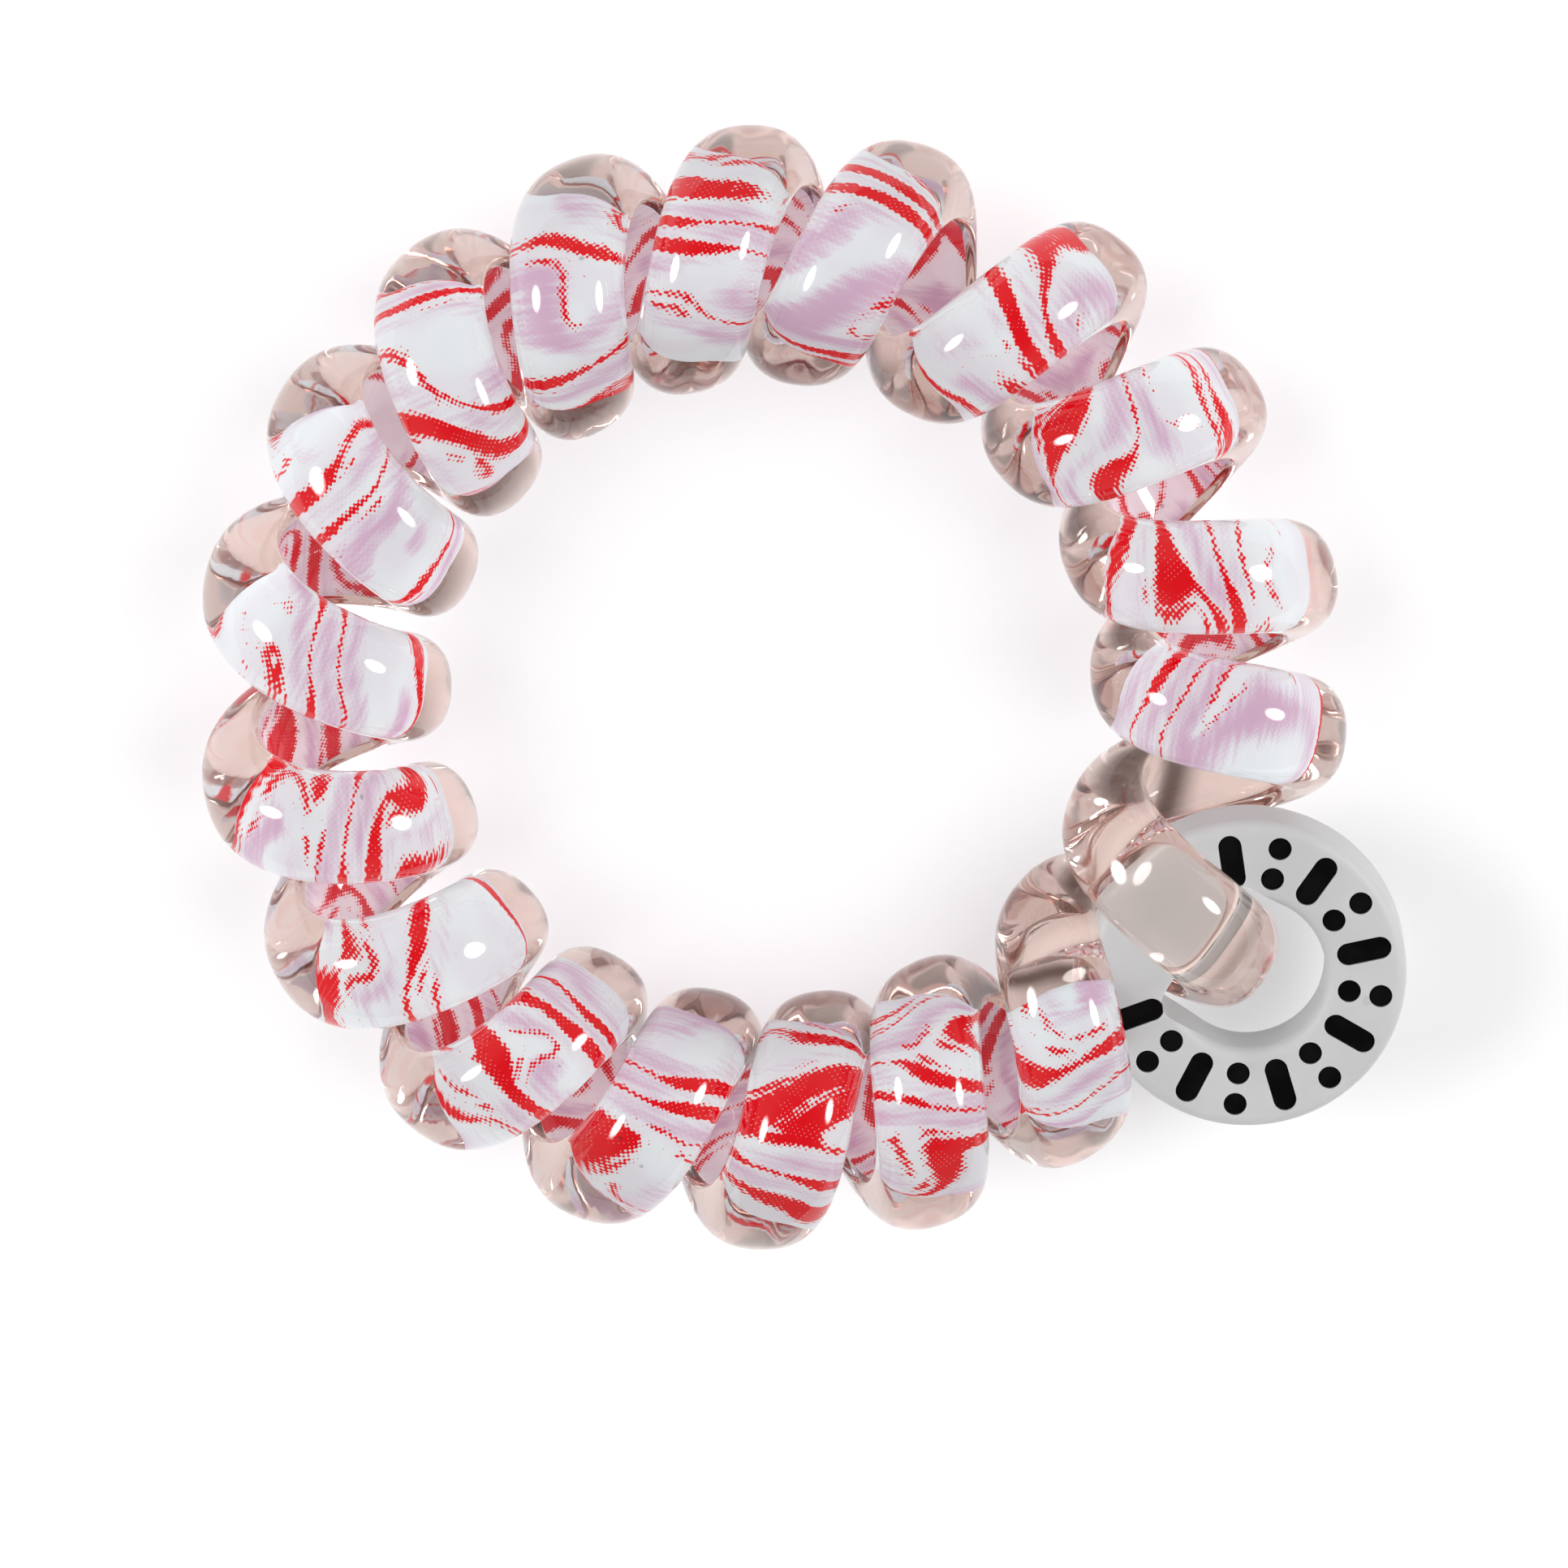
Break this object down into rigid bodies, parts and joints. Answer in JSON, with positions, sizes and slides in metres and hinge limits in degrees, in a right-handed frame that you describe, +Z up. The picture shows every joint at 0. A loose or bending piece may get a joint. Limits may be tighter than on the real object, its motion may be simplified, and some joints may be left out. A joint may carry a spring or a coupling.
{
  "type": "spiral hair tie",
  "caption": "Clear spiral hair tie with a red, pink and white swirl print inside the strand and a white marked ring linked on, lying flat.",
  "frame": {"origin": "on the surface that the tie lies on, under the middle of its bounding box", "axes": "+Z up out of the surface that the tie lies on, +Y to the side of the ring that is at the top of the picture, +X to the picture's right, where the tag ring is"},
  "size_m": [0.0524, 0.0502, 0.0112],
  "materials": {
    "clear_strand": "clear glossy elastomer",
    "print_film": "white film printed with a red and pink swirl",
    "tag_ring": "satin moulded white",
    "tag_marks": "matt black"
  },
  "bodies": {
    "root": {"clear_strand": "clear_strand", "print_film": "print_film", "tag_ring": "tag_ring", "tag_marks": "tag_marks"}
  },
  "joints": []
}
